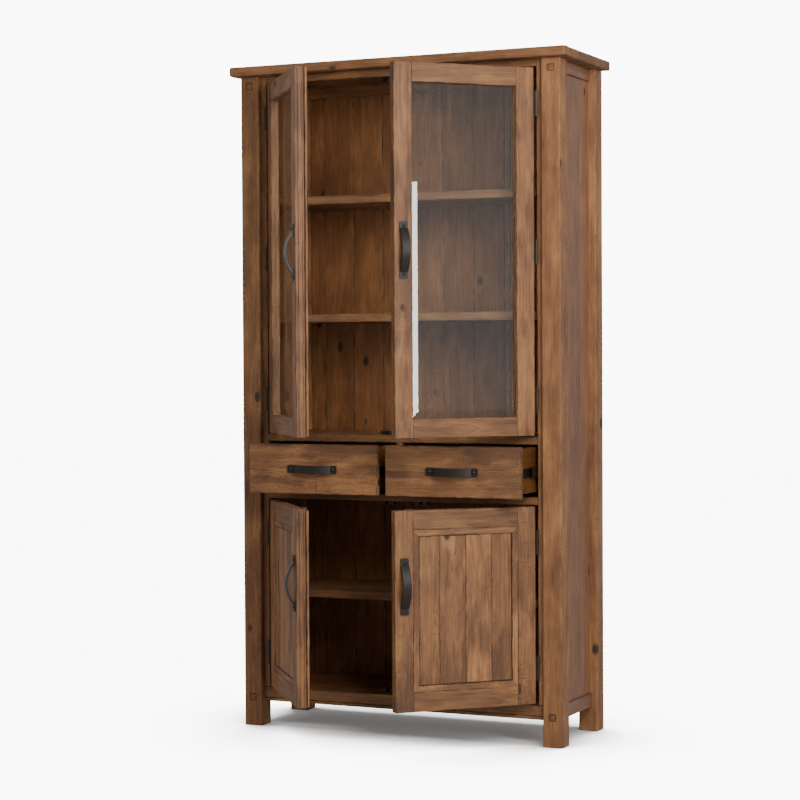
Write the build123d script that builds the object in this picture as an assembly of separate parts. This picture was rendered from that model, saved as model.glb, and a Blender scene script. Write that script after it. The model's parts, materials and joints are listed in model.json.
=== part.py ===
"""Pantry cabinet in solid wood: two glazed doors over two drawers over two panelled doors.

Everything is drawn in millimetres around the cabinet, +Z up, the front facing -Y:
x = 0 is the middle, y = 0 is the front plane of the posts and z = 0 is the floor.
The last step slides the whole model along Y, so that the origin ends up on the floor
in the middle of the space that the cabinet takes up as it stands, doors ajar.
"""

from build123d import *
import os
from math import cos, radians, sin

# ---------------------------------------------------------------- overall sizes
overall_height = 2000.0
body_width = 1032.0          # over the outer faces of the posts
body_depth = 362.0           # front of the front posts to the back of the rear posts
slab_thickness = 28.0
slab_overhang_side = 24.0
slab_overhang_front = 28.0
slab_overhang_back = 5.0
slab_edge_radius = 10.0      # rounded upper edge
slab_ease = 5.0              # lower edge

# ---------------------------------------------------------------- posts and pegs
post_size = 60.0
post_foot_ease = 2.0
post_edge_radius = 5.0
peg_size = 18.0
peg_depth = 14.0
peg_dome = 3.0
peg_below_slab = 29.0        # peg centre under the slab
peg_above_floor = 87.0       # peg centre over the floor

# ---------------------------------------------------------------- front frame
frame_recess = 18.0          # front of the posts to the front of the frame
frame_depth = 30.0
stile_width = 19.0
top_rail_height = 21.0
mid_rail_height = 22.0
bottom_rail_height = 32.0
base_strip_height = 10.0
base_strip_gap = 1.0         # shadow line between the bottom rail and the strip
base_clearance = 75.0        # floor to the underside of the base strip
divider_width = 20.0
member_ease = 1.2            # worn arris on the frame, doors and drawers
floor_level = 118.0          # top of the bottom rail and of the cabinet floor
drawer_bay_bottom = 716.0
drawer_bay_top = 868.0
board_thickness = 22.0       # fixed horizontal boards

# ---------------------------------------------------------------- sides and back
side_rail_recess = 17.0
side_rail_thickness = 20.0
side_top_rail_height = 36.0
side_bottom_rail_height = 39.0
side_panel_recess = 24.0
side_panel_thickness = 14.0
panel_groove_depth = 8.0
panel_groove_clearance = 0.3
tenon_length = 25.0
tenon_thickness = 8.0
tenon_shoulder = 6.0
tenon_clearance = 0.2
back_thickness = 12.0
back_board_pitch = 102.0
back_board_gap = 0.4
back_vee = 2.5
back_rail_height = 34.0
back_rail_thickness = 12.0

# ---------------------------------------------------------------- shelves
shelf_thickness = 25.0
shelf_setback = 10.0         # behind the back of the front frame
shelf_end_clearance = 1.0
upper_shelf_tops = (1252.0, 1608.0)
lower_shelf_top = 418.0
cleat_size = 15.0

# ---------------------------------------------------------------- doors
door_thickness = 28.0
door_gap = 3.5               # over and under each door
door_meeting_gap = 3.0
door_hinge_gap = 4.5         # holds two hinge leaves
door_member = 55.0           # stiles and rails
door_lip = 12.0              # wood in front of the glass or panel
rebate_width = 8.0
rebate_clearance = 1.0
glass_thickness = 5.0
glass_bevel_width = 20.0
glass_bevel_depth = 2.0
moulding_width = 18.0
moulding_set_in = 1.0
panel_back_thickness = 8.0
panel_field_set_in = 3.0
panel_field_clearance = 1.2
panel_board_pitch = 80.0
panel_vee = 1.6
edge_groove_width = 5.0
edge_groove_depth = 3.0
edge_groove_set_back = 4.5
edge_groove_stop = 7.0
edge_line_width = 2.0
edge_line_set_back = 20.0
astragal_width = 30.0        # strip behind the meeting stile of each left door
astragal_thickness = 7.0
astragal_lap = 8.0           # past the edge of its own door
astragal_stop = 4.0          # short of the top and bottom of the door
astragal_clearance = 0.3     # behind the other door when both are shut
rest_angle = {"upper_left": 51.7, "upper_right": 46.0, "lower_left": 52.0, "lower_right": 45.2}

# ---------------------------------------------------------------- hinges
hinge_length = 72.0
hinge_inset = 103.0          # end of a door to the middle of its outer hinges
leaf_thickness = 2.0
leaf_reach = 26.0            # back from the front face of the door
knuckle_radius = 3.6
knuckle_count = 5
knuckle_gap = 0.3
pin_radius = 1.6
pin_clearance = 0.05
pin_x_out = 0.5              # pin outside the edge of the frame stile
pin_proud = 4.5              # pin in front of the frame
screw_shank_radius = 1.5
screw_shank_length = 14.0
leaf_screw_radius = 3.0
leaf_screws = 3

# ---------------------------------------------------------------- catches
catch_x = 55.0
catch_body = (40.0, 18.0, 11.0)
catch_mouth = 13.0
catch_ball_radius = 3.5
catch_ball_gap = 6.4
catch_ball_back = 10.0       # ball centres behind the mouth
catch_behind_door = 3.0
strike_plate = (28.0, 1.6, 8.0)
strike_tongue = (4.4, 14.0, 7.0)

# ---------------------------------------------------------------- handles
handle_length = 160.0
handle_width = 24.0
handle_thickness = 4.5
handle_projection = 28.0
handle_foot = 24.0
handle_bend = 6.0            # how far the outer bend starts inside the inner one
handle_corner = 4.0
handle_screw_head_radius = 5.5
handle_screw_dome = 2.6
handle_hole_clearance = 0.2
upper_handle_z = 1421.0
lower_handle_z = 477.0
handle_from_edge = 27.5      # door edge to the middle of the handle

# ---------------------------------------------------------------- drawers
drawer_front_thickness = 20.0
drawer_side_gap = 3.0
drawer_top_gap = 2.5
drawer_front_ease = 2.5
drawer_pull = 130.0          # how far both drawers stand open
drawer_travel = 250.0        # closed to fully open
drawer_box_height = 130.0
drawer_box_above = 12.0      # bottom of the front to the bottom of the box
drawer_box_length = 270.0
drawer_box_wall = 12.0
drawer_bottom_thickness = 5.0
drawer_bottom_lift = 8.0
drawer_bottom_groove = 5.0
slide_height = 35.0
slide_width = 12.7
slide_sheet = 1.2
slide_length = 255.0
slide_centre_above = 71.0    # bottom of the front to the middle of the slide
slide_step = 2.5             # each slide member is this much smaller than the next
slide_setback = 3.0

# ---------------------------------------------------------------- derived places
half_width = body_width / 2
slab_bottom = overall_height - slab_thickness
post_inner = half_width - post_size
stile_edge = post_inner - stile_width
frame_front = frame_recess
frame_back = frame_front + frame_depth
bottom_rail_bottom = floor_level - bottom_rail_height
upper_bottom = drawer_bay_top + mid_rail_height
upper_top = slab_bottom - top_rail_height
lower_top = drawer_bay_bottom - mid_rail_height
back_face = body_depth - back_thickness
back_rail_face = back_face - back_rail_thickness
rear_post_front = body_depth - post_size
panel_outer = half_width - side_panel_recess
panel_inner = panel_outer - side_panel_thickness
rail_outer = half_width - side_rail_recess
rail_inner = rail_outer - side_rail_thickness
side_panel_bottom = base_clearance + side_bottom_rail_height
side_panel_top = slab_bottom - side_top_rail_height
half_divider = divider_width / 2
door_hinge_x = stile_edge - door_hinge_gap
door_free_x = door_meeting_gap / 2
door_back = frame_front + door_thickness
pin_x = stile_edge + pin_x_out
pin_y = frame_front - pin_proud
drawer_inner_x = half_divider + drawer_side_gap
drawer_outer_x = stile_edge - drawer_side_gap
drawer_front_bottom = drawer_bay_bottom + drawer_top_gap
drawer_front_top = drawer_bay_top - drawer_top_gap
drawer_front_back = frame_front + drawer_front_thickness
slide_centre = drawer_front_bottom + slide_centre_above

nodes = {}


# ---------------------------------------------------------------- small helpers
def block(x, y, z):
    """A box between three (low, high) pairs."""
    size = [high - low for low, high in (x, y, z)]
    low = Pos(x[0], y[0], z[0])
    return low * Box(*size, align=(Align.MIN, Align.MIN, Align.MIN))


def eased(solid, size=member_ease):
    """A board with every arris taken off."""
    return chamfer(solid.edges(), size)


def rod(centre, radius, length, axis):
    """A cylinder that starts at centre and runs along axis."""
    plane = Plane(origin=centre, z_dir=axis)
    return plane * Cylinder(radius, length, align=(Align.CENTER, Align.CENTER, Align.MIN))


def across(solid):
    """The same solid on the other side of the cabinet."""
    return mirror(solid, about=Plane.YZ)


def both_sides(solids):
    return [copy for solid in solids for copy in (solid, across(solid))]


def put(name, *solids):
    nodes.setdefault(name, []).extend(solids)


def dome(centre, radius, height, axis):
    """A low button head: a slice of a ball, its flat side at centre."""
    ball_radius = (radius**2 + height**2) / (2 * height)
    plane = Plane(origin=centre, z_dir=axis)
    ball = Pos(0, 0, height - ball_radius) * Sphere(ball_radius)
    keep = Pos(0, 0, height) * Box(4 * radius, 4 * radius, 2 * height)
    return plane * (ball & keep)


def screw(place, axis, head):
    """A screw whose head sits at place and whose shank runs along axis."""
    return head + rod(place, screw_shank_radius, screw_shank_length, axis)


# ---------------------------------------------------------------- the carcass
def make_slab():
    slab = block(
        (-half_width - slab_overhang_side, half_width + slab_overhang_side),
        (-slab_overhang_front, body_depth + slab_overhang_back),
        (slab_bottom, overall_height),
    )
    slab = fillet(slab.edges().filter_by(Axis.Z), slab_edge_radius / 2)
    slab = fillet(slab.faces().sort_by(Axis.Z)[-1].edges(), slab_edge_radius)
    return fillet(slab.faces().sort_by(Axis.Z)[0].edges(), slab_ease)


def side_rail_blank(bottom, top, grow=0.0):
    """A side rail with a tenon at each end; grow makes the matching mortise."""
    middle = (rail_outer + rail_inner) / 2
    tenon = block(
        (middle - tenon_thickness / 2 - grow, middle + tenon_thickness / 2 + grow),
        (post_size - tenon_length - grow, rear_post_front + tenon_length + grow),
        (bottom + tenon_shoulder - grow, top - tenon_shoulder + grow),
    )
    if grow:
        return tenon
    rail = block((rail_inner, rail_outer), (post_size, rear_post_front), (bottom, top))
    return rail + tenon


def side_panel_blank(grow=0.0):
    """The panel, tongued into both posts; grow makes the matching grooves."""
    reach = panel_groove_depth + grow
    return block(
        (panel_inner - grow, panel_outer + grow),
        (post_size - reach, rear_post_front + reach),
        (side_panel_bottom, side_panel_top),
    )


def peg(x, z):
    """A square peg with a low pyramid head, driven in from the front."""
    shank = Pos(x, 0, z) * Box(peg_size, peg_depth, peg_size, align=(Align.CENTER, Align.MIN, Align.CENTER))
    foot = Plane(origin=(x, 0, z), x_dir=(1, 0, 0), z_dir=(0, -1, 0))
    head = extrude(foot * Rectangle(peg_size, peg_size), peg_dome, taper=60)
    return shank + head


def make_posts():
    """Four posts, grooved for the side panels and mortised for the side rails."""
    side_rails = ((base_clearance, side_panel_bottom), (side_panel_top, slab_bottom))
    cutters = [side_rail_blank(*levels, tenon_clearance) for levels in side_rails]
    cutters.append(side_panel_blank(panel_groove_clearance))
    peg_levels = (peg_above_floor, slab_bottom - peg_below_slab)
    peg_x = half_width - post_size / 2
    pegs = [peg(peg_x, z) for z in peg_levels]
    for where, low in (("front", 0.0), ("rear", rear_post_front)):
        post = block((post_inner, half_width), (low, low + post_size), (0, slab_bottom))
        post = fillet(post.edges().filter_by(Axis.Z), post_edge_radius)
        post = chamfer(post.faces().sort_by(Axis.Z)[0].edges(), post_foot_ease)
        for cutter in cutters:
            post -= cutter
        if where == "front":
            for one in pegs:
                post -= one
        put(f"{where}_right_post", post)
        put(f"{where}_left_post", across(post))
    put("post_pegs", *both_sides(pegs))
    rails = [side_rail_blank(*levels) for levels in side_rails]
    put("side_rails", *both_sides(rails))
    put("side_panels", *both_sides([side_panel_blank()]))


def make_front_frame():
    depth = (frame_front, frame_back)
    stile = eased(block((stile_edge, post_inner), depth, (floor_level, slab_bottom)))
    put("frame_stiles", *both_sides([stile]))
    between = (-stile_edge, stile_edge)
    put("frame_rails", eased(block(between, depth, (upper_top, slab_bottom))))
    for low in (lower_top, drawer_bay_top):
        put("frame_rails", eased(block(between, depth, (low, low + mid_rail_height))))
    between = (-post_inner, post_inner)
    put("frame_rails", eased(block(between, depth, (bottom_rail_bottom, floor_level))))
    strip_top = bottom_rail_bottom - base_strip_gap
    strip = block(between, depth, (base_clearance, strip_top))
    put("base_strip", eased(strip))


def make_fixed_boards():
    """Floor boards of the three bays, notched round the posts, and the uprights of the drawer bay."""
    between = (-post_inner + shelf_end_clearance, post_inner - shelf_end_clearance)
    wide = (-panel_inner + shelf_end_clearance, panel_inner - shelf_end_clearance)
    ear_depth = (post_size + shelf_end_clearance, rear_post_front - shelf_end_clearance)
    boards = {
        "cabinet_floor": (floor_level, back_rail_face),
        "drawer_bay_floor": (drawer_bay_bottom, back_face),
        "upper_floor": (upper_bottom, back_face),
    }
    for name, (top, back) in boards.items():
        levels = (top - board_thickness, top)
        put(name, block(between, (frame_back, back), levels) + block(wide, ear_depth, levels))
    bay = (drawer_bay_bottom, drawer_bay_top)
    centre = block((-half_divider, half_divider), (frame_front, back_face), bay)
    liner = block((stile_edge, post_inner - shelf_end_clearance), (frame_back, back_face), bay)
    put("drawer_bay_uprights", centre, *both_sides([liner]))


def shelf(top):
    """A board notched round the posts, so its ends reach the side panels."""
    bottom = top - shelf_thickness
    front = frame_back + shelf_setback
    body = block(
        (-post_inner + shelf_end_clearance, post_inner - shelf_end_clearance),
        (front, back_face - shelf_end_clearance),
        (bottom, top),
    )
    ears = block(
        (-panel_inner + shelf_end_clearance, panel_inner - shelf_end_clearance),
        (post_size + shelf_end_clearance, rear_post_front - shelf_end_clearance),
        (bottom, top),
    )
    return body + ears


def make_shelves():
    put("shelves", *[shelf(top) for top in (*upper_shelf_tops, lower_shelf_top)])
    for top in (*upper_shelf_tops, lower_shelf_top):
        under = top - shelf_thickness
        cleat = block(
            (panel_inner - cleat_size, panel_inner),
            (post_size, rear_post_front),
            (under - cleat_size, under),
        )
        put("shelf_cleats", *both_sides([cleat]))


def make_back():
    """Upright back boards with a vee at each joint, and the rails that carry them."""
    inner = post_inner
    joints = [0.0]
    while joints[-1] + back_board_pitch < inner - back_board_pitch / 4:
        joints.append(joints[-1] + back_board_pitch)
    for low, high in zip(joints, joints[1:] + [inner]):
        board = block(
            (low + back_board_gap / 2, high - back_board_gap / 2),
            (back_face, body_depth),
            (base_clearance, slab_bottom),
        )
        front_edges = board.edges().filter_by(Axis.Z).group_by(Axis.Y)[0]
        put("back_boards", *both_sides([chamfer(front_edges, back_vee)]))
    between = (-post_inner, post_inner)
    depth = (back_rail_face, back_face)
    top_rail = block(between, depth, (slab_bottom - back_rail_height, slab_bottom))
    bottom_rail = block(between, depth, (base_clearance, floor_level))
    put("back_rails", top_rail, bottom_rail)


# ---------------------------------------------------------------- hardware
def hinge(z, door_edge_x, stile_x):
    """One butt hinge, drawn closed: its frame side, its door side and their screws."""
    low = z - hinge_length / 2
    segment = hinge_length / knuckle_count
    back = frame_front + leaf_reach
    sides = {
        "frame": block((stile_x - leaf_thickness, stile_x), (pin_y, back), (low, low + hinge_length)),
        "door": block((door_edge_x, door_edge_x + leaf_thickness), (pin_y, back), (low, low + hinge_length)),
    }
    knuckles = {"frame": [], "door": []}
    for k in range(knuckle_count):
        owner = "door" if k % 2 else "frame"
        other = "frame" if k % 2 else "door"
        start = low + k * segment + knuckle_gap / 2
        length = segment - knuckle_gap
        knuckles[owner].append(rod((pin_x, pin_y, start), knuckle_radius, length, (0, 0, 1)))
        clear = rod((pin_x, pin_y, low + k * segment), knuckle_radius + knuckle_gap, segment, (0, 0, 1))
        sides[other] -= clear
    pin = rod((pin_x, pin_y, low), pin_radius, hinge_length, (0, 0, 1))
    bores = {
        "frame": pin,
        "door": rod((pin_x, pin_y, low), pin_radius + pin_clearance, hinge_length, (0, 0, 1)),
    }
    screws = {"frame": [], "door": []}
    faces = {"frame": (stile_x - leaf_thickness, 1), "door": (door_edge_x + leaf_thickness, -1)}
    for side, leaf in sides.items():
        for knuckle in knuckles[side]:
            leaf += knuckle
        leaf -= bores[side]
        face_x, outward = faces[side]
        for k in range(leaf_screws):
            place_z = low + hinge_length * (k + 0.5) / leaf_screws
            place = (face_x, (frame_front + back) / 2, place_z)
            head = rod(place, leaf_screw_radius, leaf_thickness, (outward, 0, 0))
            one = screw(place, (outward, 0, 0), head)
            leaf -= one
            screws[side].append(one)
        sides[side] = leaf
    return sides, pin, screws


def catch(z):
    """A double ball catch behind the door: its body and balls, and the door's strike."""
    width, depth, height = catch_body
    mouth = door_back + catch_behind_door
    body = Pos(catch_x, mouth, z) * Box(width, depth, height, align=(Align.CENTER, Align.MIN, Align.CENTER))
    slot = Pos(catch_x, mouth, z) * Box(
        catch_mouth, depth - leaf_thickness, height + 1, align=(Align.CENTER, Align.MIN, Align.CENTER)
    )
    body -= slot
    balls = []
    for side in (-1, 1):
        ball_x = catch_x + side * (catch_ball_gap / 2 + catch_ball_radius)
        ball = Pos(ball_x, mouth + catch_ball_back, z) * Sphere(catch_ball_radius)
        body -= ball
        balls.append(ball)
    plate = Pos(catch_x, door_back, z) * Box(*strike_plate, align=(Align.CENTER, Align.MIN, Align.CENTER))
    tongue = Pos(catch_x, door_back, z) * Box(*strike_tongue, align=(Align.CENTER, Align.MIN, Align.CENTER))
    tip = tongue.faces().sort_by(Axis.Y)[-1].edges().filter_by(Axis.Z)
    return body, balls, plate + fillet(tip, strike_tongue[0] / 2 - 0.2)


def handle():
    """A bowed strap pull lying along X with its feet on y = 0, and its two screws."""
    half = handle_length / 2
    inner = half - handle_foot
    outer = inner + handle_bend
    rise = handle_projection
    foot = handle_thickness
    outline = [
        Line((-half, 0), (-half, -foot)),
        Line((-half, -foot), (-outer, -foot)),
        ThreePointArc((-outer, -foot), (0, -rise), (outer, -foot)),
        Line((outer, -foot), (half, -foot)),
        Line((half, -foot), (half, 0)),
        Line((half, 0), (inner, 0)),
        ThreePointArc((inner, 0), (0, foot - rise), (-inner, 0)),
        Line((-inner, 0), (-half, 0)),
    ]
    strap = extrude(make_face(Wire(outline)), handle_width / 2, both=True)
    ends = strap.edges().filter_by(Axis.Y).group_by(Axis.X)
    strap = fillet([*ends[0], *ends[-1]], handle_corner)
    screws = []
    for side in (-1, 1):
        place = (side * (half - handle_foot / 2), -foot, 0)
        head = dome(place, handle_screw_head_radius, handle_screw_dome, (0, -1, 0))
        screws.append(screw(place, (0, 1, 0), head))
        strap -= rod(place, screw_shank_radius + handle_hole_clearance, 2 * foot, (0, 1, 0))
    return strap, screws


# ---------------------------------------------------------------- doors
def door_blank(levels):
    """Stiles and rails of a right-hand door, drawn closed, with the rebate cut."""
    low, high = levels
    depth = (frame_front, door_back)
    hinge_stile = eased(block((door_hinge_x - door_member, door_hinge_x), depth, levels))
    meeting_stile = eased(block((door_free_x, door_free_x + door_member), depth, levels))
    groove_front = frame_front + edge_groove_set_back
    meeting_stile -= block(
        (door_free_x, door_free_x + edge_groove_depth),
        (groove_front, groove_front + edge_groove_width),
        (low + edge_groove_stop, high - edge_groove_stop),
    )
    line_front = frame_front + edge_line_set_back
    meeting_stile -= block(
        (door_free_x, door_free_x + edge_line_width), (line_front, line_front + edge_line_width), levels
    )
    across_rails = (door_free_x + door_member, door_hinge_x - door_member)
    rails = [
        eased(block(across_rails, depth, (low, low + door_member))),
        eased(block(across_rails, depth, (high - door_member, high))),
    ]
    rebate = block(
        (across_rails[0] - rebate_width, across_rails[1] + rebate_width),
        (frame_front + door_lip, door_back),
        (low + door_member - rebate_width, high - door_member + rebate_width),
    )
    stiles = [hinge_stile - rebate, meeting_stile - rebate]
    rails = [rail - rebate for rail in rails]
    return stiles, rails, across_rails, (low + door_member, high - door_member)


def ring(x, z, y, width):
    """Four mitred strips that fill a frame of the given width inside x and z."""
    centre = ((x[0] + x[1]) / 2, y[0], (z[0] + z[1]) / 2)
    half_x = (x[1] - x[0]) / 2
    half_z = (z[1] - z[0]) / 2
    plane = Plane(origin=centre, x_dir=(1, 0, 0), z_dir=(0, -1, 0))
    corners = [(-half_x, -half_z), (half_x, -half_z), (half_x, half_z), (-half_x, half_z)]
    inner = [(-half_x + width, -half_z + width), (half_x - width, -half_z + width)]
    inner += [(half_x - width, half_z - width), (-half_x + width, half_z - width)]
    strips = []
    for k in range(4):
        after = (k + 1) % 4
        outline = Polyline(corners[k], corners[after], inner[after], inner[k], close=True)
        strips.append(extrude(plane * make_face(outline), -(y[1] - y[0])))
    return strips


def bevel(x, z, front, width):
    """The sloping front of a bevelled pane, lofted from its rim to its flat middle."""
    centre = (sum(x) / 2, sum(z) / 2)
    size = (x[1] - x[0], z[1] - z[0])
    rim = Plane(origin=(centre[0], front + glass_bevel_depth, centre[1]), x_dir=(1, 0, 0), z_dir=(0, -1, 0))
    flat = rim.offset(glass_bevel_depth)
    inner = (size[0] - 2 * width, size[1] - 2 * width)
    return loft([rim * Rectangle(*size), flat * Rectangle(*inner)])


def glazing(x, z):
    """A bevelled pane against the lip of the door frame, and the beads behind it."""
    reach = rebate_width - rebate_clearance
    front = frame_front + door_lip
    pane_x = (x[0] - reach, x[1] + reach)
    pane_z = (z[0] - reach, z[1] + reach)
    pane = block(pane_x, (front + glass_bevel_depth, front + glass_thickness), pane_z)
    pane += bevel(pane_x, pane_z, front, glass_bevel_width + reach)
    bead_x = (x[0] - rebate_width, x[1] + rebate_width)
    bead_z = (z[0] - rebate_width, z[1] + rebate_width)
    beads = ring(bead_x, bead_z, (front + glass_thickness, door_back), rebate_width)
    return {"glass": [pane], "beads": beads}


def panelling(x, z):
    """Upright boards with a raised field, framed by a flat mitred moulding."""
    reach = rebate_width - rebate_clearance
    back_front = frame_front + door_lip
    back = (back_front, back_front + panel_back_thickness)
    field_x = (x[0] + moulding_width + panel_field_clearance, x[1] - moulding_width - panel_field_clearance)
    field_z = (z[0] + moulding_width + panel_field_clearance, z[1] - moulding_width - panel_field_clearance)
    middle = (x[0] + x[1]) / 2
    joints = [middle + k * panel_board_pitch for k in (-1, 0, 1)]
    edges = [x[0] - reach, *joints, x[1] + reach]
    field_edges = [field_x[0], *joints, field_x[1]]
    boards = []
    for k in range(len(edges) - 1):
        base = block((edges[k], edges[k + 1]), back, (z[0] - reach, z[1] + reach))
        field = block(
            (field_edges[k], field_edges[k + 1]), (frame_front + panel_field_set_in, back_front), field_z
        )
        front_edges = field.faces().sort_by(Axis.Y)[0].edges()
        boards.append(base + chamfer(front_edges, panel_vee))
    moulding = ring(x, z, (frame_front + moulding_set_in, back_front), moulding_width)
    moulding = [chamfer(one.faces().sort_by(Axis.Y)[0].edges(), member_ease) for one in moulding]
    return {"panel": boards, "moulding": moulding}


def astragal(levels):
    """The strip behind the meeting stile that the other door closes against."""
    low, high = levels
    edge = door_free_x - astragal_lap
    depth = (door_back, door_back + astragal_thickness)
    strip = block((edge, edge + astragal_width), depth, (low + astragal_stop, high - astragal_stop))
    strip -= block((edge - 1, door_free_x), (door_back - 1, door_back + astragal_clearance), levels)
    return chamfer(strip.faces().sort_by(Axis.Y)[-1].edges(), member_ease)


def make_door(name, levels, filling, hinge_levels, handle_z, catch_levels):
    """One door and its share of the hardware, drawn closed on the right and then swung open."""
    stiles, rails, inside_x, inside_z = door_blank(levels)
    pieces = {"stiles": stiles, "rails": rails, **filling(inside_x, inside_z)}
    if "left" in name:
        pieces["astragal"] = [astragal(levels)]
    leaves = []
    fixed = []
    for z in hinge_levels:
        sides, pin, screws = hinge(z, door_hinge_x, stile_edge)
        leaves += [sides["door"], *screws["door"]]
        fixed += [sides["frame"], pin, *screws["frame"]]
        for one in screws["door"]:
            pieces["stiles"][0] -= one
    strikes = []
    for z in catch_levels:
        body, balls, strike = catch(z)
        put("catch_bodies", *[(solid if "right" in name else across(solid)) for solid in (body, *balls)])
        strikes.append(strike)
    pieces["fittings"] = leaves + strikes
    strap, screws = handle()
    place = Pos(door_free_x + handle_from_edge, frame_front, handle_z) * Rot(0, 90, 0)
    screws = [place * one for one in screws]
    pieces["handle"] = [place * strap, *screws]
    for one in screws:
        pieces["stiles"][1] -= one
    to_hinge = Pos(pin_x, pin_y, 0)
    swing = to_hinge * Rot(0, 0, rest_angle[name]) * to_hinge.inverse()
    for piece, solids in pieces.items():
        turned = [swing * solid for solid in solids]
        if "left" in name:
            turned = [across(solid) for solid in turned]
        put(f"{name}_door_{piece}", *turned)
    return fixed if "right" in name else [across(solid) for solid in fixed]


def make_doors():
    upper = (upper_bottom + door_gap, upper_top - door_gap)
    lower = (floor_level + door_gap, lower_top - door_gap)
    half_catch = catch_body[2] / 2
    stile_screws = []
    for side in ("left", "right"):
        outer = [upper[0] + hinge_inset, upper[1] - hinge_inset]
        hinges = [outer[0], sum(outer) / 2, outer[1]]
        catches = [upper_bottom + half_catch, upper_top - half_catch]
        stile_screws += make_door(f"upper_{side}", upper, glazing, hinges, upper_handle_z, catches)
        hinges = [lower[0] + hinge_inset, lower[1] - hinge_inset]
        catches = [floor_level + half_catch, lower_top - half_catch]
        stile_screws += make_door(f"lower_{side}", lower, panelling, hinges, lower_handle_z, catches)
    put("frame_hinge_leaves", *stile_screws)
    nodes["frame_stiles"] = [cut_all(stile, stile_screws) for stile in nodes["frame_stiles"]]


def cut_all(solid, cutters):
    """Cut the solid with each cutter that stands on its side of the cabinet."""
    side = solid.center().X
    for cutter in cutters:
        if cutter.center().X * side > 0:
            solid -= cutter
    return solid


# ---------------------------------------------------------------- drawers
def channel(wall_x, inward, reach, half_height, y):
    """A sheet-steel channel: its web stands at wall_x, its flanges run inward."""
    web = sorted((wall_x, wall_x + inward * slide_sheet))
    arm = sorted((wall_x, wall_x + inward * reach))
    low, high = slide_centre - half_height, slide_centre + half_height
    piece = block(web, y, (low, high))
    piece += block(arm, y, (low, low + slide_sheet))
    piece += block(arm, y, (high - slide_sheet, high))
    return piece


def make_slides(side):
    """Both telescopic slides of a right-hand drawer, drawn closed."""
    reach = slide_width - slide_sheet - slide_step
    half = slide_height / 2
    outer, middle, inner = [], [], []
    for wall_x, inward in ((half_divider, 1), (stile_edge, -1)):
        box_x = wall_x + inward * slide_width
        start = frame_back + slide_setback
        outer.append(channel(wall_x, inward, reach, half, (start, start + slide_length)))
        middle_x = wall_x + inward * slide_step
        middle_reach = reach - slide_step / 2
        start = drawer_front_back + 2 * slide_setback
        run = (start, start + slide_length)
        middle.append(channel(middle_x, inward, middle_reach, half - slide_step, run))
        start = drawer_front_back + slide_setback
        run = (start, start + slide_length)
        inner_reach = middle_reach - slide_step / 2
        inner.append(channel(box_x, -inward, inner_reach, half - 2 * slide_step, run))
    return outer, middle, inner


def make_drawer(side):
    front_x = (drawer_inner_x, drawer_outer_x)
    front_z = (drawer_front_bottom, drawer_front_top)
    front = block(front_x, (frame_front, drawer_front_back), front_z)
    front = eased(front, drawer_front_ease)
    box_x = (half_divider + slide_width, stile_edge - slide_width)
    box_y = (drawer_front_back, drawer_front_back + drawer_box_length)
    box_low = drawer_front_bottom + drawer_box_above
    box_z = (box_low, box_low + drawer_box_height)
    wall = drawer_box_wall
    walls = [
        block((box_x[0], box_x[0] + wall), box_y, box_z),
        block((box_x[1] - wall, box_x[1]), box_y, box_z),
        block((box_x[0] + wall, box_x[1] - wall), (box_y[0], box_y[0] + wall), box_z),
        block((box_x[0] + wall, box_x[1] - wall), (box_y[1] - wall, box_y[1]), box_z),
    ]
    lift = box_low + drawer_bottom_lift
    sunk = wall - drawer_bottom_groove
    bottom = block(
        (box_x[0] + sunk, box_x[1] - sunk),
        (box_y[0] + sunk, box_y[1] - sunk),
        (lift, lift + drawer_bottom_thickness),
    )
    walls = [piece - bottom for piece in walls]
    strap, screws = handle()
    place = Pos(sum(front_x) / 2, frame_front, sum(front_z) / 2)
    screws = [place * one for one in screws]
    for one in screws:
        front -= one
    outer, middle, inner = make_slides(side)
    moved = {
        "drawer_front": ([front], drawer_pull),
        "drawer_walls": (walls, drawer_pull),
        "drawer_bottom": ([bottom], drawer_pull),
        "drawer_handle": ([place * strap, *screws], drawer_pull),
        "drawer_inner_slides": (inner, drawer_pull),
        "drawer_middle_slides": (middle, drawer_pull / 2),
    }
    for name, (solids, pull) in moved.items():
        out = [Pos(0, -pull, 0) * solid for solid in solids]
        put(f"{side}_{name}", *(out if side == "right" else [across(one) for one in out]))
    put("fixed_slides", *(outer if side == "right" else [across(one) for one in outer]))


# ---------------------------------------------------------------- build and write
def build():
    put("top_slab", make_slab())
    make_posts()
    make_front_frame()
    make_fixed_boards()
    make_shelves()
    make_back()
    make_doors()
    for side in ("left", "right"):
        make_drawer(side)


def solids_of(shape):
    found = list(shape.solids())
    if not found:
        raise ValueError("a piece came out empty")
    return found


def write():
    os.makedirs("parts", exist_ok=True)
    shapes = {name: Compound(children=[one for s in solids for one in solids_of(s)]) for name, solids in nodes.items()}
    boxes = [shape.bounding_box() for shape in shapes.values()]
    front = min(box.min.Y for box in boxes)
    back = max(box.max.Y for box in boxes)
    shift = -(front + back) / 2
    for name, shape in shapes.items():
        export_step(Pos(0, shift, 0) * shape, f"parts/{name}.step")
    print("nodes", len(shapes), "shift in Y", round(shift, 3))
    print("hinge pins at x", pin_x, "y", round(pin_y + shift, 3))
    print("front plane of the posts at y", round(shift, 3))


build()
write()
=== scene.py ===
"""Pantry cabinet: saw-marked solid wood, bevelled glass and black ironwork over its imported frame."""

import json
import random
from math import pi, radians

import bpy
from bpy.props import FloatProperty, FloatVectorProperty, IntProperty, PointerProperty
from bpy.types import Operator, Panel, PropertyGroup
from mathutils import Matrix, Vector


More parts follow.
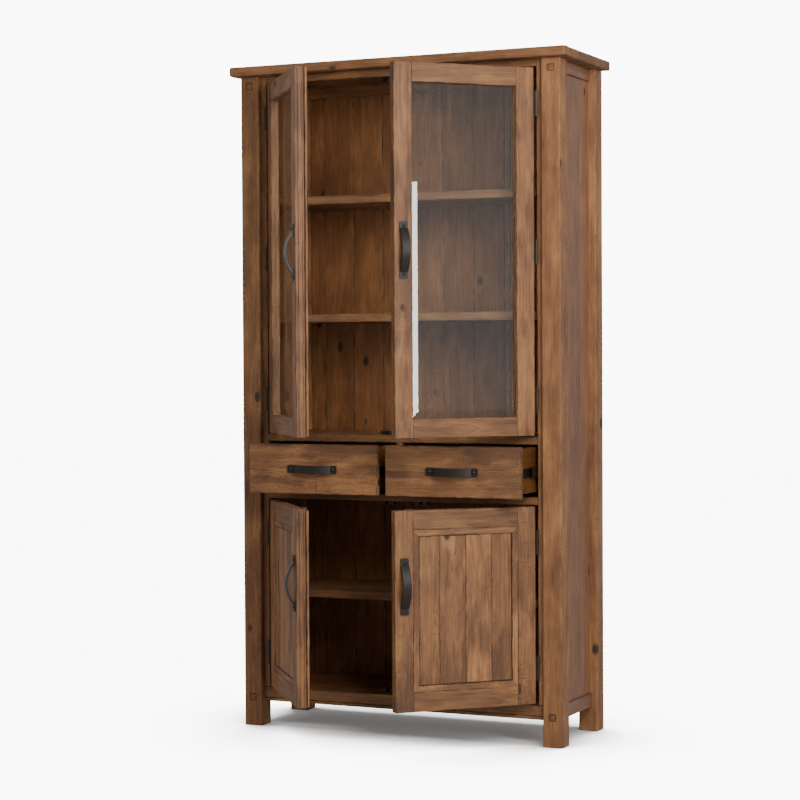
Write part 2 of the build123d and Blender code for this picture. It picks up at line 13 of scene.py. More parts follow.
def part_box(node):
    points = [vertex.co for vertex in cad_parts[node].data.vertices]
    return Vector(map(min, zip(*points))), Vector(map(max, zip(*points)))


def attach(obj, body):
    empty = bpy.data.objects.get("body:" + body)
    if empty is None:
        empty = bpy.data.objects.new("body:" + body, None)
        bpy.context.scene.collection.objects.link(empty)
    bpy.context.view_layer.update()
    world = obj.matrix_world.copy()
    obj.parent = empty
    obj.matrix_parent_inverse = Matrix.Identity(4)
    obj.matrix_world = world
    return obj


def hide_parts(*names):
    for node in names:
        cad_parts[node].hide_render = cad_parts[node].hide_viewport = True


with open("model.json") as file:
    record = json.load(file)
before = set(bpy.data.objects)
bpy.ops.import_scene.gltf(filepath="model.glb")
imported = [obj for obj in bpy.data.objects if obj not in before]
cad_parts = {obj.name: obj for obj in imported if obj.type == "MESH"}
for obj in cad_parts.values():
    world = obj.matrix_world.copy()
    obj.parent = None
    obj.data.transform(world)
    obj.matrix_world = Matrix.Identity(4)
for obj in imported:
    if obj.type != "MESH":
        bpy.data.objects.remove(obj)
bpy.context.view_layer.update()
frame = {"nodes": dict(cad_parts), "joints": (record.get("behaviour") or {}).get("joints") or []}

bl_info = {
    "name": "Pantry Cabinet",
    "version": (1, 0, 0),
    "blender": (4, 5, 0),
    "location": "3D View > Sidebar > Pantry",
    "description": "Dresses a tall pantry cabinet in solid wood, bevelled glass and black ironwork",
    "category": "Object",
}

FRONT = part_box("front_left_post")[0][1]  # front plane of the posts
HALF_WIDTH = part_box("front_right_post")[1][0]
POST = HALF_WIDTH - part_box("front_right_post")[0][0]
POST_INNER = HALF_WIDTH - POST
FRAME_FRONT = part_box("frame_rails")[0][1]
FRAME_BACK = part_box("frame_rails")[1][1]
DOORS = ("upper_left", "upper_right", "lower_left", "lower_right")
SIDES = (("left", -1), ("right", 1))
JOINTS = {joint["child"]: joint for joint in frame["joints"]}
PIN_OUT = 0.0005  # from the edge of the frame stile to the hinge pins
STILE_EDGE = JOINTS["upper_right_door"]["pos_m"][0] - PIN_OUT
CLEARANCE = 0.001  # between the notched boards and the posts

# Sizes that the boxes of the nodes don't give, in metres.
SIDE_PANEL = 0.014  # thickness
SIDE_RAIL = 0.020  # thickness
BACK_PITCH = 0.102  # from joint to joint of the back boards
BACK_GAP = 0.0004
BACK_VEE = 0.0010
BACK_RAIL = 0.034  # height of the upper back rail
HALF_DIVIDER = 0.010  # of the upright between the drawers
SHELF = 0.025  # thickness
SHELF_RISE = 0.362  # from the upper floor to the first shelf over it
CLEAT = 0.015  # side of the square cleats
PANEL_PITCH = 0.080  # width of the middle boards in the door panels
PANEL_GAP = 0.0012  # between the raised field and its moulding
PANEL_SLACK = 0.001  # between the panel and the end of its rebate
PANEL_BACK = 0.008  # thickness behind the raised field
PANEL_SET_BACK = 0.003  # from the face of the door to the raised field
MOULDING_SET_BACK = 0.001
ASTRAGAL_WIDTH = 0.030
ASTRAGAL_THICKNESS = 0.007
ASTRAGAL_LAP = 0.008  # past the edge of its own door
ASTRAGAL_STOP = 0.004  # short of the top and bottom of the door
ASTRAGAL_CLEARANCE = 0.0003  # behind the other door
PEG_STEPS = ((0.004, 0.0014), (0.0035, 0.0008))  # inset and rise of each step up the head
SOFT_EDGE = 0.0009  # round on the arrises of the pulls
PAST = 0.01  # how far a cutter reaches past the wood
# Slots down the free edge of a door: how deep, from and to behind its face, and short of its ends.
EDGE_GROOVE = (0.003, 0.0045, 0.0095, 0.007)
EDGE_LINE = (0.002, 0.020, 0.022, -PAST)

# How pale each kind of board is drawn: 0 is the darkest and 1 the palest.
# Part of this is painted shade: the left post is darker than the right one, and the frame stiles and
# rails darker, where they lie in shade.
TONES = {
    "slab": 0.25, "left_post": 0.42, "right_post": 0.62, "peg": 0.0, "frame_stile": 0.3,
    "frame_rail": 0.1, "shelf": 0.15, "door_stile": 0.45, "door_rail": 0.22, "drawer_front": 0.28,
    "plain": 0.5,
}
WORN = 0.0013  # how far the arrises of inner boards are rubbed down
WORN_MORE = 0.002  # slab and posts
WORN_LESS = 0.0006  # thin boards and pegs
SHARP = radians(50)  # edges sharper than this count as arrises

# Name, place, target, width and height, watts, and whether the lamp shows in the glass.
LAMPS = (
    ("key_lamp", (1.75, -1.9, 2.15), (0.15, -0.1, 1.1), (1.0, 1.0), 58.0, True),
    ("fill_lamp", (-3.2, -3.0, 2.0), (0.0, 0.0, 1.0), (2.4, 2.4), 24.0, False),
    ("strip_lamp", (2.96, -2.0, 1.33), (0.16, -0.28, 1.33), (0.24, 1.09), 26.0, True),
)
CAMERA_PLACE = (2.6153, -5.6956 + FRONT, 1.1369)
CAMERA_TURN, CAMERA_DIP, CAMERA_ROLL = 24.57, 1.3, -0.3
CAMERA_LENS, CAMERA_SENSOR = 95.74, 36.0
WHITE_GLARE = 9.6  # strength of the surround where the camera sees it
SOFT_LIGHT = 0.38  # its strength where it lights the wood
# Glow of the floor to the camera: faint under the cabinet, a painted shadow, and strong in the open.
FLOOR_GLARE = (0.09, 9.0)  # under the cabinet, and in the open


# ---------------------------------------------------------------- settings
def length(name, default, description):
    """A length in metres that the sidebar shows."""
    return FloatProperty(
        name=name, description=description, default=default, min=0.0, precision=4,
        unit="LENGTH", subtype="DISTANCE",
    )


def srgb(code):
    """A hex colour such as #8A6344, turned to linear."""
    values = [int(code[k:k + 2], 16) / 255 for k in (1, 3, 5)]
    return tuple(v / 12.92 if v <= 0.04045 else ((v + 0.055) / 1.055) ** 2.4 for v in values) + (1.0,)


def colour(name, code, description):
    """A colour that the sidebar shows."""
    return FloatVectorProperty(
        name=name, description=description, default=srgb(code), size=4, min=0.0, max=1.0,
        subtype="COLOR",
    )


class PantrySizes(PropertyGroup):
    """Sizes of the boards that are dressed."""

    worn_edge: length("Worn edge", 0.0013, "How far the arrises of frame boards are rubbed down")
    post_edge: length("Post edge", 0.005, "Radius of the upright edges of the posts")
    slab_edge: length("Slab edge", 0.010, "Radius of the upper edge of the slab")
    peg: length("Peg", 0.018, "Side of the square pegs")
    peg_shadow: length("Peg shadow", 0.0018, "Gap round each peg")
    door_member: length("Door member", 0.055, "Width of the door stiles and rails")
    door_thickness: length("Door thickness", 0.028, "Thickness of the doors")
    door_lip: length("Door lip", 0.012, "Wood in front of the glass or panel")
    door_gap: length("Door gap", 0.0035, "Gap over and under each door")
    hinge_gap: length("Hinge gap", 0.0045, "Gap beside each door that holds the hinge leaves")
    meeting_gap: length("Meeting gap", 0.003, "Gap between the two doors of a pair")
    rebate: length("Rebate", 0.008, "Width of the rebate that holds the glass or panel")
    glass: length("Glass", 0.005, "Thickness of the panes")
    moulding: length("Moulding", 0.018, "Width of the flat moulding of the panelled doors")
    drawer_wall: length("Drawer wall", 0.012, "Thickness of the drawer box walls")


class PantryFinish(PropertyGroup):
    """Colours and seed of the finishes."""

    wood_light: colour("Wood light", "#AF7D4E", "Early wood under the stain")
    wood_mid: colour("Wood middle", "#8A5E3C", "Most of the stained wood")
    wood_dark: colour("Wood dark", "#4C3323", "Late wood, streaks and knots")
    iron: colour("Iron", "#221E1B", "Blackened iron of pulls and hinges")
    steel: colour("Steel", "#37332F", "Dark steel of hinges, catches and slides")
    seed: IntProperty(name="Seed", description="Start of the random choice of boards", default=7, min=0)


# ---------------------------------------------------------------- materials
def add_node(tree, kind, inputs=(), **settings):
    """Adds a node; inputs maps sockets to values or to the outputs that feed them."""
    node = tree.nodes.new(kind)
    for key, value in settings.items():
        setattr(node, key, value)
    for socket, value in dict(inputs).items():
        if isinstance(value, bpy.types.NodeSocket):
            tree.links.new(value, node.inputs[socket])
        else:
            node.inputs[socket].default_value = value
    return node


def new_material(name):
    """An empty material with its output node."""
    material = bpy.data.materials.new(name)
    material.use_nodes = True
    material.node_tree.nodes.clear()
    return material, material.node_tree, material.node_tree.nodes.new("ShaderNodeOutputMaterial")


def ramp(tree, factor, *stops):
    """The colour of a ramp with those stops, as (place, colour) pairs."""
    node = add_node(tree, "ShaderNodeValToRGB", {"Fac": factor})
    elements = node.color_ramp.elements
    while len(elements) > 1:
        elements.remove(elements[-1])
    elements[0].position, elements[0].color = stops[0]
    for place, shade in stops[1:]:
        elements.new(place).color = shade
    return node.outputs["Color"]


def bumped(tree, height, strength):
    """Normals over a relief 0.6 mm deep."""
    inputs = {"Strength": strength, "Distance": 0.0006, "Height": height}
    return add_node(tree, "ShaderNodeBump", inputs).outputs["Normal"]


def vector(tree, operation, *values):
    """Vector arithmetic; a tuple or an output feeds each socket."""
    sockets = dict(enumerate(values))
    return add_node(tree, "ShaderNodeVectorMath", sockets, operation=operation).outputs[0]


def number(tree, operation, *values):
    """Arithmetic on plain values."""
    return add_node(tree, "ShaderNodeMath", dict(enumerate(values)), operation=operation).outputs[0]


def fade(tree, value, start, end, low=0.0, high=1.0):
    """Goes softly from low to high while value goes from start to end."""
    return add_node(
        tree, "ShaderNodeMapRange",
        {"Value": value, "From Min": start, "From Max": end, "To Min": low, "To Max": high},
        interpolation_type="SMOOTHSTEP",
    ).outputs[0]


def noise(tree, place, stretch, detail=3.0, roughness=0.6):
    """Noise over place, finer along the axes with a larger stretch."""
    spread = vector(tree, "MULTIPLY", place, stretch)
    inputs = {"Vector": spread, "Scale": 1.0, "Detail": detail, "Roughness": roughness}
    return add_node(tree, "ShaderNodeTexNoise", inputs).outputs["Fac"]


def tint_by(tree, factor, under, over):
    """Two colours mixed by a factor."""
    mix = {"Factor": factor, "A": under, "B": over}
    return add_node(tree, "ShaderNodeMix", mix, data_type="RGBA").outputs[2]


def seen_openly(tree):
    """1 for what is seen directly or through glass, 0 for light that falls on things."""
    path = add_node(tree, "ShaderNodeLightPath").outputs
    bounces = number(tree, "ADD", path["Diffuse Depth"], path["Glossy Depth"])
    no_bounce = number(tree, "LESS_THAN", bounces, 0.5)
    through = number(tree, "MULTIPLY", path["Is Transmission Ray"], no_bounce)
    return number(tree, "MAXIMUM", path["Is Camera Ray"], through)


def make_wood(name, light=None, mid=None, dark=None, saw=0.45, gloss=0.58):
    """Softwood with blade marks, stained and waxed; made once under its name.

    The attribute grain runs along each board in metres, so growth rings, fibres and knots stay with
    the board. The stain settles in blade marks, splits and on the arrises.
    """
    if name in bpy.data.materials:
        return bpy.data.materials[name]
    settings = bpy.context.scene.pantry_finish
    light = srgb(light) if light else tuple(settings.wood_light)
    mid = srgb(mid) if mid else tuple(settings.wood_mid)
    dark = srgb(dark) if dark else tuple(settings.wood_dark)
    material, tree, output = new_material(name)
    grain = add_node(tree, "ShaderNodeAttribute", attribute_name="grain").outputs["Vector"]
    wear = add_node(tree, "ShaderNodeAttribute", attribute_name="wear").outputs["Fac"]
    tone = add_node(tree, "ShaderNodeAttribute", attribute_name="tone").outputs["Fac"]

    # The trunk wanders a centimetre over half a metre of board.
    slow = vector(tree, "MULTIPLY", grain, (2.0, 7.0, 7.0))
    inputs = {"Vector": slow, "Scale": 1.0, "Detail": 2.0}
    wander = add_node(tree, "ShaderNodeTexNoise", inputs).outputs["Color"]
    centred = vector(tree, "SUBTRACT", wander, (0.5, 0.5, 0.5))
    bent = vector(tree, "MULTIPLY_ADD", centred, (0.0, 0.030, 0.030), grain)

    # Knots some 15 mm across, with the grain pushed aside round them.
    sparse = vector(tree, "MULTIPLY", bent, (4.5, 7.5, 7.5))
    cells = add_node(tree, "ShaderNodeTexVoronoi", {"Vector": sparse, "Scale": 1.0}).outputs["Distance"]
    knot = fade(tree, cells, 0.055, 0.10, 1.0, 0.0)
    around = fade(tree, cells, 0.0, 0.40, 0.022, 0.0)
    push = add_node(tree, "ShaderNodeCombineXYZ", {"Y": around, "Z": around}).outputs[0]
    ringed = vector(tree, "ADD", vector(tree, "MULTIPLY", bent, (0.25, 1.0, 1.0)), push)

    # Growth rings 5 mm apart: the wave repeats every 2 pi / 20 of its scale.
    rings = add_node(
        tree, "ShaderNodeTexWave",
        {
            "Vector": ringed, "Scale": 0.314 / 0.005,
            "Distortion": 1.6, "Detail": 2.0, "Detail Scale": 0.5,
        },
        wave_type="RINGS", rings_direction="X", wave_profile="SAW",
    ).outputs["Fac"]

    # Fibres half a millimetre wide, streaks of stain, cloudy patches and dark mineral lines.
    fibre = noise(tree, bent, (12.0, 560.0, 560.0), 3.0, 0.65)
    streak = noise(tree, bent, (3.5, 42.0, 42.0), 4.0)
    cloud = noise(tree, bent, (7.0, 13.0, 13.0), 3.0)
    mineral = fade(tree, noise(tree, bent, (5.0, 160.0, 160.0), 2.0), 0.64, 0.78, 0.0, 0.5)

    # Blade marks: a slanting hatch 5 mm apart in patches, its slant different from board to board.
    slant = number(tree, "MULTIPLY_ADD", number(tree, "GREATER_THAN", tone, 0.45), 2.0, -1.0)
    apart = add_node(tree, "ShaderNodeSeparateXYZ", {"Vector": grain})
    across = number(tree, "ADD", apart.outputs["Y"], apart.outputs["Z"])
    across = number(tree, "MULTIPLY", across, slant)
    run = number(tree, "MULTIPLY_ADD", across, 0.72, number(tree, "MULTIPLY", apart.outputs["X"], 0.70))
    bow = noise(tree, grain, (6.0, 9.0, 9.0), 1.0)
    run = number(tree, "MULTIPLY_ADD", bow, 0.012, run)
    teeth = number(tree, "SINE", number(tree, "MULTIPLY", run, 2 * pi / 0.0052))
    teeth = fade(tree, teeth, -0.6, 0.9)
    where = fade(tree, noise(tree, grain, (4.0, 14.0, 14.0), 3.0), 0.45, 0.60, 0.0, saw)
    marks = number(tree, "MULTIPLY", teeth, where)

    # Short dark nicks square to the grain, in a few places.
    nicks = fade(tree, noise(tree, grain, (190.0, 22.0, 22.0), 1.0), 0.64, 0.74)
    few = fade(tree, noise(tree, grain, (3.0, 11.0, 11.0), 1.0), 0.52, 0.62)
    nicks = number(tree, "MULTIPLY", nicks, few)

    # Light early wood to stained dark.
    depth = number(tree, "MULTIPLY_ADD", rings, 0.10, -0.23)
    for part, weight in ((fibre, 0.50), (streak, 0.42), (cloud, 0.55), (marks, 0.30)):
        depth = number(tree, "MULTIPLY_ADD", part, weight, depth)
    body = ramp(tree, depth, (0.34, light), (0.56, mid), (0.86, dark))
    soaked = tuple(value * 0.55 for value in dark[:3]) + (1.0,)
    burnt = tuple(value * 0.28 for value in dark[:3]) + (1.0,)
    # Each board's tone scales the value of its colour: partly its own paleness, partly painted shade on
    # the left post and the frame boards.
    shade = fade(tree, tone, 0.0, 1.0, 0.62, 1.18)
    body = add_node(tree, "ShaderNodeHueSaturation", {"Value": shade, "Color": body}).outputs["Color"]
    body = tint_by(tree, mineral, body, soaked)
    body = tint_by(tree, number(tree, "MULTIPLY", nicks, 0.55 * min(1.0, saw)), body, soaked)
    body = tint_by(tree, number(tree, "MULTIPLY", knot, 0.9), body, burnt)

    # Arrises: stain is caught in broken dark lines.
    chipped = noise(tree, grain, (22.0, 60.0, 60.0), 3.0)
    edge = number(tree, "MULTIPLY", wear, fade(tree, chipped, 0.42, 0.60, 0.25, 1.0))
    edge = fade(tree, edge, 0.25, 0.85, 0.0, 0.85)
    body = tint_by(tree, edge, body, soaked)

    rough = fade(tree, fibre, 0.2, 0.8, gloss - 0.08, gloss + 0.12)
    relief = number(tree, "MULTIPLY", marks, -0.8)
    for part, weight in ((fibre, -0.25), (rings, -0.08), (edge, -0.5), (nicks, -0.5), (mineral, -0.4)):
        relief = number(tree, "MULTIPLY_ADD", part, weight, relief)
    shader = add_node(
        tree, "ShaderNodeBsdfPrincipled",
        {
            "Base Color": body, "Roughness": rough, "Normal": bumped(tree, relief, 0.4),
            "IOR": 1.45, "Specular IOR Level": 0.42,
        },
    )
    tree.links.new(shader.outputs["BSDF"], output.inputs["Surface"])
    return material


def sawn_wood():
    """Wood of the carcass and of the doors' rails."""
    return make_wood("waxed_sawn_pine")


def rough_wood():
    """Wood of door stiles, panels and drawer fronts, with the most blade marks."""
    return make_wood("waxed_rough_pine", saw=1.7)


def inside_wood():
    """Wood of the boards inside."""
    return make_wood(
        "stained_inside_pine", light="#966540", mid="#794D2C", dark="#4E321D", saw=0.1, gloss=0.5
    )


def side_wood():
    """Greyer planed wood of the sides; its grey is partly painted sheen."""
    return make_wood(
        "waxed_planed_pine", light="#94694A", mid="#7C5740", dark="#54392A", saw=0.15, gloss=0.46
    )


def drawer_wood():
    """Yellower lacquered wood of the drawer boxes."""
    return make_wood(
        "lacquered_drawer_pine", light="#80542A", mid="#643F1C", dark="#402812", saw=0.0, gloss=0.4
    )


def make_metal(name, base, metallic, gloss, dents):
    """A waxed metal with a fine tooth and small hammer dents; made once under its name."""
    if name in bpy.data.materials:
        return bpy.data.materials[name]
    material, tree, output = new_material(name)
    place = add_node(tree, "ShaderNodeTexCoord").outputs["Object"]
    dented = noise(tree, place, (150.0, 150.0, 150.0), 2.0)
    fine = noise(tree, place, (900.0, 900.0, 900.0), 3.0)
    rubbed = tuple(min(1.0, value * 2.2 + 0.01) for value in base[:3]) + (1.0,)
    shader = add_node(
        tree, "ShaderNodeBsdfPrincipled",
        {
            "Base Color": ramp(tree, fine, (0.42, base), (0.75, rubbed)),
            "Metallic": metallic, "Normal": bumped(tree, dented, dents),
            "Roughness": fade(tree, fine, 0.3, 0.7, gloss, gloss + 0.15),
        },
    )
    tree.links.new(shader.outputs["BSDF"], output.inputs["Surface"])
    return material


def make_glass():
    """Clear, faintly grey float glass that lets the light of the lamps through."""
    name = "bevelled_float_glass"
    if name in bpy.data.materials:
        return bpy.data.materials[name]
    material, tree, output = new_material(name)
    place = add_node(tree, "ShaderNodeTexCoord").outputs["Object"]
    cast = noise(tree, place, (6.0, 6.0, 6.0))
    tint = ramp(tree, cast, (0.3, srgb("#EDEFEC")), (0.7, srgb("#E8ECE9")))
    glass = add_node(
        tree, "ShaderNodeBsdfPrincipled",
        {"Base Color": tint, "Roughness": 0.0, "IOR": 1.52, "Transmission Weight": 1.0},
    )
    clear = add_node(tree, "ShaderNodeBsdfTransparent", {"Color": tint})
    lamp = add_node(tree, "ShaderNodeLightPath").outputs["Is Shadow Ray"]
    mixed = add_node(
        tree, "ShaderNodeMixShader", {0: lamp, 1: glass.outputs["BSDF"], 2: clear.outputs["BSDF"]}
    )
    tree.links.new(mixed.outputs[0], output.inputs["Surface"])
    return material


# ---------------------------------------------------------------- boards
dice = random.Random()  # seeded in main


def switch_to(mode):
    """Edit mode or object mode for the active object."""
    bpy.ops.object.mode_set(mode=mode)


def object_mode():
    """Object mode with nothing selected."""
    if bpy.context.mode != "OBJECT":
        switch_to("OBJECT")
    bpy.ops.object.select_all(action="DESELECT")


def only(piece):
    """Selects one object alone and makes it active."""
    object_mode()
    piece.select_set(True)
    bpy.context.view_layer.objects.active = piece


def add_box(low, high):
    """A box primitive between two corners, with its place in its mesh."""
    object_mode()
    low, high = Vector(low), Vector(high)
    bpy.ops.mesh.primitive_cube_add(size=1.0, location=(low + high) / 2, scale=high - low)
    bpy.ops.object.transform_apply(location=True, rotation=True, scale=True)
    return bpy.context.active_object


def select_none(piece, kind):
    """Object mode with no face or edge of the piece selected."""
    only(piece)
    switch_to("EDIT")
    bpy.ops.mesh.select_mode(type=kind)
    bpy.ops.mesh.select_all(action="DESELECT")
    switch_to("OBJECT")


def pick_edges(piece, wanted):
    """Edit mode with the edges selected for which wanted(middle, direction) holds."""
    select_none(piece, "EDGE")
    mesh = piece.data
    for edge in mesh.edges:
        a, b = (mesh.vertices[i].co for i in edge.vertices)
        edge.select = bool(wanted((a + b) / 2, (b - a).normalized()))
    switch_to("EDIT")


def round_edges(piece, wanted, radius, segments=4):
    """Rounds the wanted edges."""
    pick_edges(piece, wanted)
    bpy.ops.mesh.bevel(
        offset=radius, offset_type="OFFSET", segments=segments, profile=0.5, clamp_overlap=True
    )
    switch_to("OBJECT")


def narrow_side(mesh, face):
    """The shorter side of a face's box."""
    spots = [mesh.vertices[k].co for k in face.vertices]
    spans = sorted(max(spot[k] for spot in spots) - min(spot[k] for spot in spots) for k in range(3))
    return spans[1]


def wear_down(piece, worn, reach):
    """A margin inside every wide face, then a small round on every sharp edge."""
    select_none(piece, "FACE")
    mesh = piece.data
    wide = [face for face in mesh.polygons if reach > 0 and narrow_side(mesh, face) > 2.4 * reach]
    for face in wide:
        face.select = True
    switch_to("EDIT")
    if wide:
        bpy.ops.mesh.inset(thickness=reach, depth=0.0, use_individual=True)
    bpy.ops.mesh.select_mode(type="EDGE")
    bpy.ops.mesh.select_all(action="DESELECT")
    bpy.ops.mesh.edges_select_sharp(sharpness=SHARP)
    bpy.ops.mesh.bevel(offset=worn, offset_type="OFFSET", segments=2, profile=0.5, clamp_overlap=True)
    switch_to("OBJECT")


def cut(piece, low, high):
    """Cuts a box out of a piece."""
    cutter = add_box(low, high)
    only(piece)
    modifier = piece.modifiers.new("cut", "BOOLEAN")
    modifier.operation = "DIFFERENCE"
    modifier.solver = "EXACT"
    modifier.object = cutter
    bpy.ops.object.modifier_apply(modifier=modifier.name)
    bpy.data.objects.remove(cutter)


def split_staves(piece, low, high, axis, count):
    """Cuts the faces of a wide board along the glue lines of its staves."""
    only(piece)
    switch_to("EDIT")
    for k in range(1, count):
        bpy.ops.mesh.select_all(action="SELECT")
        spot = list(low)
        spot[axis] = low[axis] + (high[axis] - low[axis]) * k / count
        normal = [0.0, 0.0, 0.0]
        normal[axis] = 1.0
        bpy.ops.mesh.bisect(plane_co=spot, plane_no=normal)
    switch_to("OBJECT")


def record_grain(piece, low, high, staves, reach, along=None, tone=TONES["plain"]):
    """Stores where each corner lies in its own board: along the grain, across it and through it."""
    mesh = piece.data
    size = [high[k] - low[k] for k in range(3)]
    order = sorted(range(3), key=lambda k: -size[k])
    if along is not None:
        order = [along] + [k for k in order if k != along]
    starts, tones = [], []
    for _ in range(staves):
        heart = dice.choice((-1, 1)) * dice.uniform(0.02, 0.11)
        starts.append(Vector((dice.uniform(0, 60), dice.uniform(-0.04, 0.04), heart)))
        tones.append(tone + dice.uniform(-0.2, 0.2))
    middle = Vector([(low[k] + high[k]) / 2 for k in order])
    grains, shades, wears = [], [], []
    for face in mesh.polygons:
        across = (face.center[order[1]] - low[order[1]]) / size[order[1]]
        stave = min(staves - 1, max(0, int(across * staves)))
        for corner in face.loop_indices:
            spot = mesh.vertices[mesh.loops[corner].vertex_index].co
            local = Vector([spot[k] for k in order]) - middle + starts[stave]
            grains.extend(local)
            shades.append(tones[stave])
            near = sorted(min(spot[k] - low[k], high[k] - spot[k]) for k in range(3))
            wears.append(1.0 - min(1.0, max(0.0, near[1] / reach)))
    kinds = (("grain", "FLOAT_VECTOR", "vector", grains), ("tone", "FLOAT", "value", shades))
    for name, kind, field, values in (*kinds, ("wear", "FLOAT", "value", wears)):
        layer = mesh.attributes.new(name, kind, "CORNER")
        layer.data.foreach_set(field, values)


def board(
    low, high, worn=WORN, staves=1, rounded=(), cuts=(), along=None, reach=0.004, tone=TONES["plain"]
):
    """One board between two corners: rounded and worn edges, cuts and staves, and its own grain.

    rounded holds (wanted, radius, segments) and cuts holds pairs of corners. The grain runs the
    long way, or along the given axis, and wear reaches that far in from the arrises.
    """
    low, high = Vector(low), Vector(high)
    piece = add_box(low, high)
    size = high - low
    order = sorted(range(3), key=lambda k: -size[k])
    for wanted, radius, segments in rounded:
        round_edges(piece, wanted, radius, segments)
    margin = min(reach, 0.4 * min(size))
    wear_down(piece, min(worn, 0.2 * min(size)), margin)
    for box in cuts:
        cut(piece, *box)
    if staves > 1:
        axis = order[1] if along is None else [k for k in order if k != along][0]
        split_staves(piece, low, high, axis, staves)
    record_grain(piece, low, high, staves, reach, along, tone)
    return piece


def join(name, pieces, material):
    """Joins boards into one piece with flat faces and smooth edges."""
    object_mode()
    for piece in pieces:
        piece.select_set(True)
    bpy.context.view_layer.objects.active = pieces[0]
    if len(pieces) > 1:
        bpy.ops.object.join()
    whole = bpy.context.active_object
    whole.name = whole.data.name = name
    whole.data.materials.clear()
    whole.data.materials.append(material)
    bpy.ops.object.shade_smooth_by_angle(angle=SHARP)
    modifier = whole.modifiers.new("even", "WEIGHTED_NORMAL")
    modifier.keep_sharp = True
    bpy.ops.object.modifier_apply(modifier=modifier.name)
    return whole


def dress(node, boards, material, body="cabinet", move=None):
    """Makes boards one piece, at rest on its body, that stands for its node."""
    whole = join(f"{node}_wood", boards, material)
    if move is not None:
        whole.data.transform(move)
        whole.data.update()
    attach(whole, body)
    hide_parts(node)


def sided(side, x, y, z):
    """The corners of a box from its reach along each axis, with x counted outwards on its side."""
    if side < 0:
        x = (-x[1], -x[0])
    return Vector((x[0], y[0], z[0])), Vector((x[1], y[1], z[1]))


def clear_of_posts():
    """How deep a board can be that stands between the front and the rear posts."""
    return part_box("front_right_post")[1][1] + CLEARANCE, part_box("rear_right_post")[0][1] - CLEARANCE


def post_notches(low, high):
    """Cutters for the corners of a level board that fits round the posts."""
    front, back = clear_of_posts()
    over = 10 * PAST
    notches = []
    for _, side in SIDES:
        for first, last in ((low.y - PAST, front), (back, high.y + PAST)):
            across = (POST_INNER - CLEARANCE, high.x + PAST)
            notches.append(sided(side, across, (first, last), (high.z - over, high.z + over)))
    return notches


def box_of(node):
    """Both corners of a node as vectors."""
    low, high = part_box(node)
    return Vector(low), Vector(high)


def upright(_, direction):
    """True for an edge that stands upright."""
    return abs(direction.z) > 0.9


# ---------------------------------------------------------------- operators: the carcass
class PANTRY_OT_slab(Operator):
    """Top slab of four glued staves with a rounded upper edge"""

    bl_idname = "pantry.slab"
    bl_label = "Top slab"

    def execute(self, context):
        sizes = context.scene.pantry_sizes
        low, high = box_of("top_slab")
        rounded = (
            (upright, sizes.slab_edge / 2, 4),
            (lambda middle, _: middle.z > high.z - 1e-5, sizes.slab_edge, 6),
            (lambda middle, _: middle.z < low.z + 1e-5, sizes.slab_edge / 2, 4),
        )
        slab = board(low, high, worn=WORN_MORE, staves=4, rounded=rounded, tone=TONES["slab"])
        dress("top_slab", [slab], sawn_wood())
        return {"FINISHED"}


class PANTRY_OT_posts(Operator):
    """Four posts with rounded upright edges and square pegs in the front ones"""

    bl_idname = "pantry.posts"
    bl_label = "Posts and pegs"

    def execute(self, context):
        sizes = context.scene.pantry_sizes
        wood = sawn_wood()
        pegs_low, pegs_high = box_of("post_pegs")
        levels = (pegs_low.z + sizes.peg / 2, pegs_high.z - sizes.peg / 2)
        centre = pegs_high.x - sizes.peg / 2
        socket = sizes.peg / 2 + sizes.peg_shadow
        pegs = []
        for side_name, side in SIDES:
            for where in ("front", "rear"):
                node = f"{where}_{side_name}_post"
                low, high = box_of(node)
                cuts = []
                if where == "front":
                    for z in levels:
                        spot = Vector((side * centre, low.y, z))
                        corner = Vector((socket, PAST, socket))
                        cuts.append((spot - corner, spot + Vector((socket, 0.004, socket))))
                        pegs.append(self.peg(spot, sizes))
                rounded = ((upright, sizes.post_edge, 4),)
                # The left post takes a lower tone than the right one: painted shade.
                post = board(
                    low, high, worn=WORN_MORE, rounded=rounded, cuts=cuts, reach=0.0035,
                    tone=TONES[f"{side_name}_post"],
                )
                dress(node, [post], wood)
        dress("post_pegs", pegs, wood)
        return {"FINISHED"}

    def peg(self, spot, sizes):
        """A square peg whose head is drawn up to a blunt pyramid."""
        half = sizes.peg / 2
        low = spot + Vector((-half, -0.0006, -half))
        high = spot + Vector((half, 0.006, half))
        piece = add_box(low, high)
        select_none(piece, "FACE")
        for face in piece.data.polygons:
            face.select = face.normal.y < -0.9
        switch_to("EDIT")
        for inset, rise in PEG_STEPS:
            bpy.ops.mesh.inset(thickness=inset, depth=rise)
        switch_to("OBJECT")
        wear_down(piece, WORN_LESS, 0.0)
        record_grain(piece, low, high, 1, 0.002, along=1, tone=TONES["peg"])
        return piece


